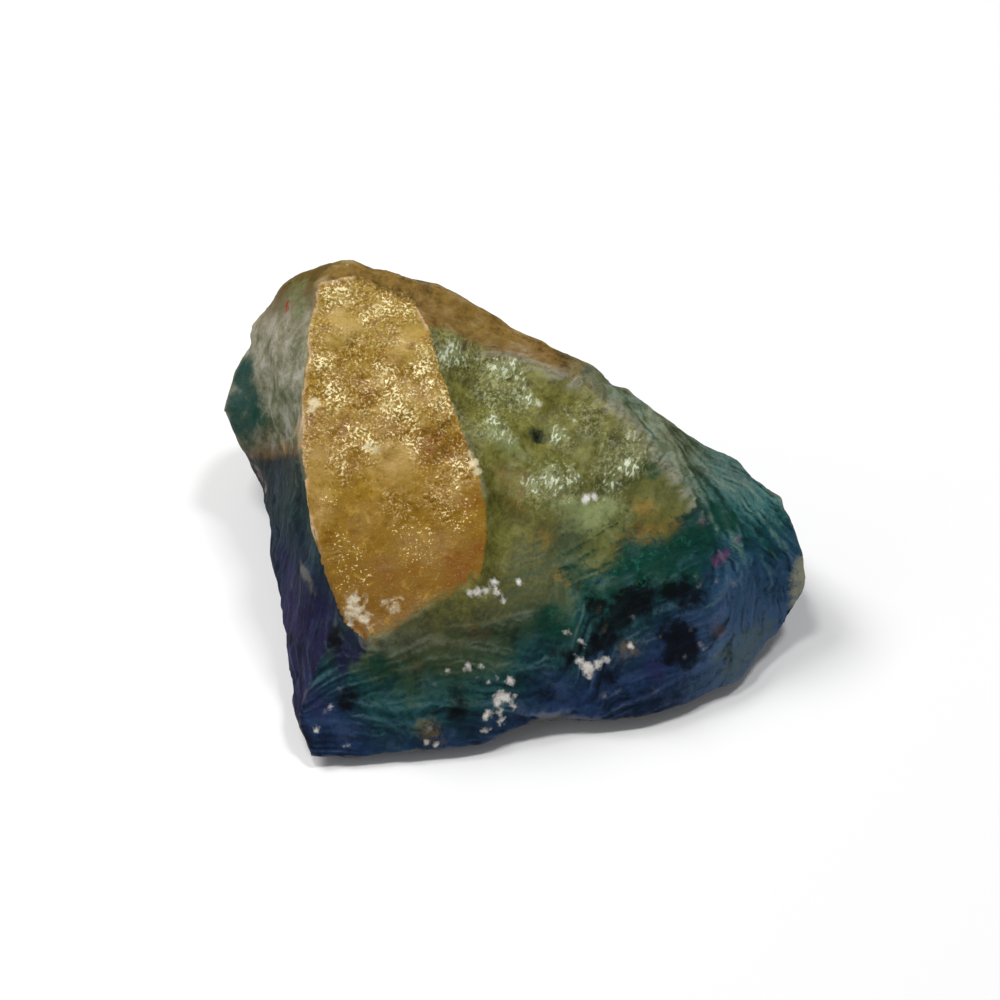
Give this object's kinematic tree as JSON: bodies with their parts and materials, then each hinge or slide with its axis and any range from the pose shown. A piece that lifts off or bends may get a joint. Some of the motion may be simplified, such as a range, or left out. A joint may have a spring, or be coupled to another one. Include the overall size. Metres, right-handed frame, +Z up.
{
  "type": "rough fluorite",
  "caption": "Rough piece of crystal rock, broken all round: a long broad break on top, sloping back, steep sides, chipped ridges and a flat cleavage face to rest on.",
  "frame": {"origin": "on the resting face, under the middle of the stone's box", "axes": "+Z up from the resting face; +X from the thick honey-coloured end to the low blue end; -Y is the front, which the broad break on top slopes down to"},
  "size_m": [0.0576, 0.0482, 0.0283],
  "materials": {
    "fluorite": "satin"
  },
  "bodies": {
    "root": {"fluorite": "fluorite"}
  },
  "joints": []
}
